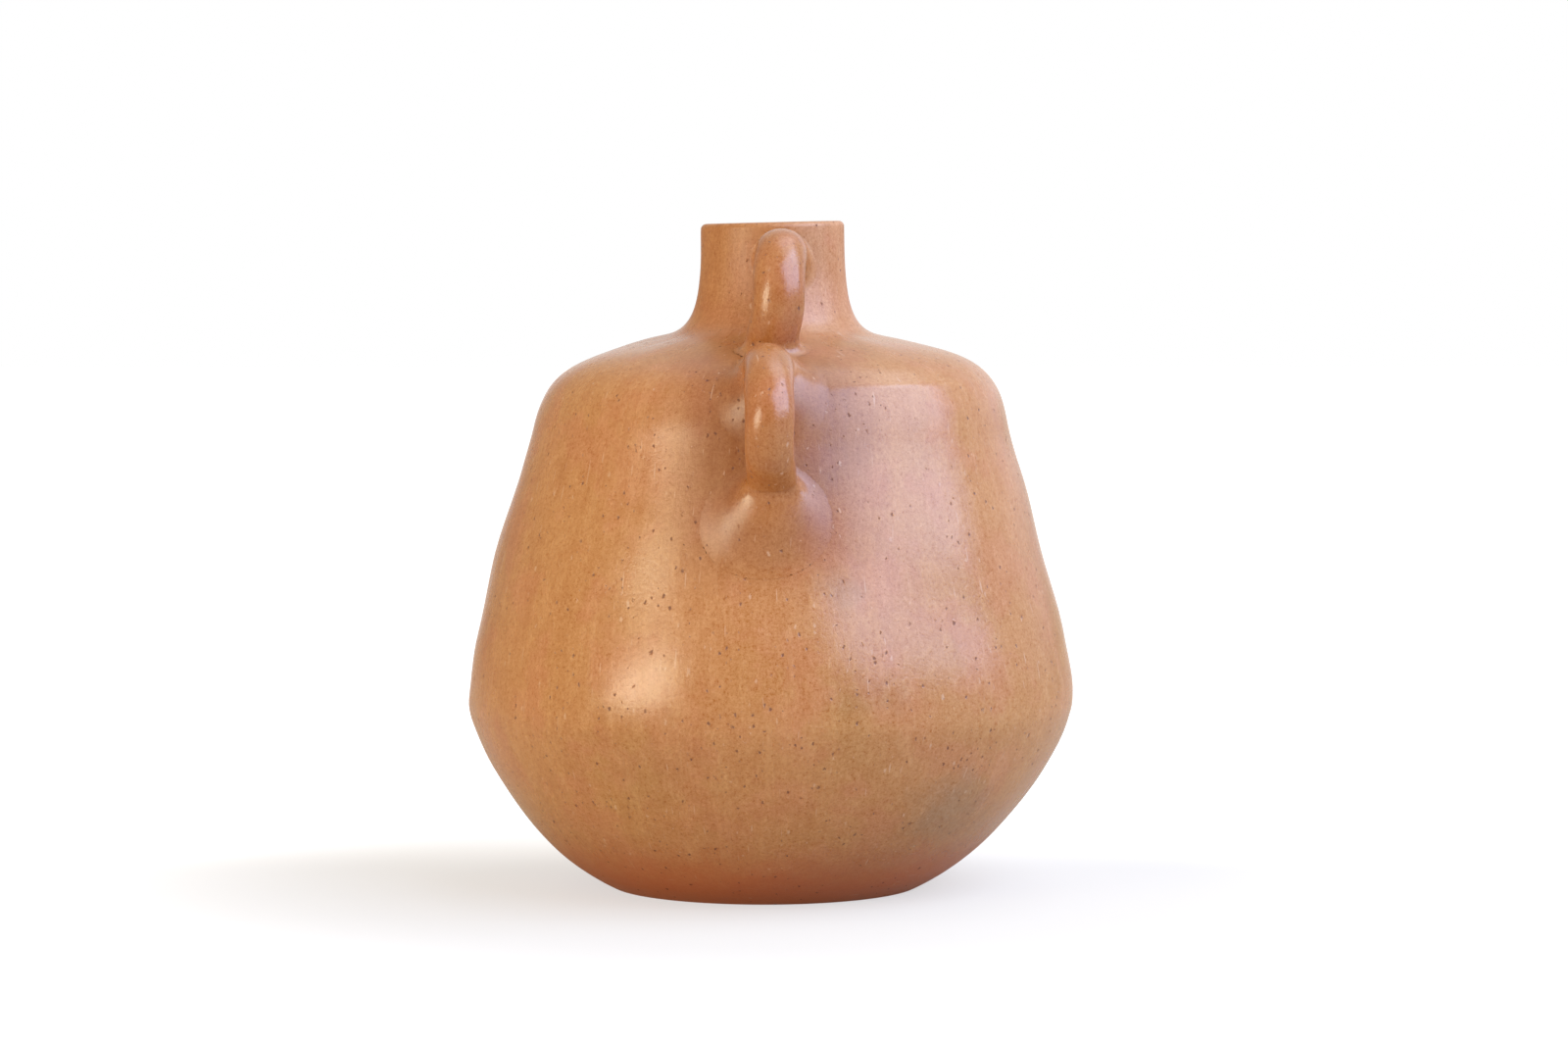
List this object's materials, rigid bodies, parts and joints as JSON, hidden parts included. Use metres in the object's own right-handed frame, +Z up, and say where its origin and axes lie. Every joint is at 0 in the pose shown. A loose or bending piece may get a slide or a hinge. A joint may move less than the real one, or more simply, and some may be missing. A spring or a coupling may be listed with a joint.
{
  "type": "four-handled vase",
  "caption": "Hand-built burnished clay vase with a narrow neck, a rounded shoulder, a heavy belly, and stacked loop handles in front and behind.",
  "frame": {"origin": "middle of the flat foot, on the surface that the vase stands on", "axes": "+Z up along the axis of the vase; the handles lie in the YZ plane, the front pair at -Y and the rear pair at +Y; +X to the right as seen from the front"},
  "size_m": [0.2272, 0.239, 0.25],
  "materials": {
    "foot_clay": "matte",
    "body_clay": "satin",
    "shoulder_clay": "satin",
    "neck_clay": "satin",
    "handle_clay": "satin",
    "wad_clay": "satin"
  },
  "bodies": {
    "root": {"foot_pad": "foot_clay", "lower_bowl": "body_clay", "belly_course": "body_clay", "upper_course": "body_clay", "shoulder": "shoulder_clay", "neck": "neck_clay", "rim": "neck_clay", "upper_handle_front": "handle_clay", "upper_handle_rear": "handle_clay", "lower_handle_front": "handle_clay", "lower_handle_rear": "handle_clay", "neck_wad_front": "wad_clay", "neck_wad_rear": "wad_clay", "shoulder_saddle_front": "wad_clay", "shoulder_saddle_rear": "wad_clay", "flank_wad_front": "wad_clay", "flank_wad_rear": "wad_clay"}
  },
  "joints": []
}
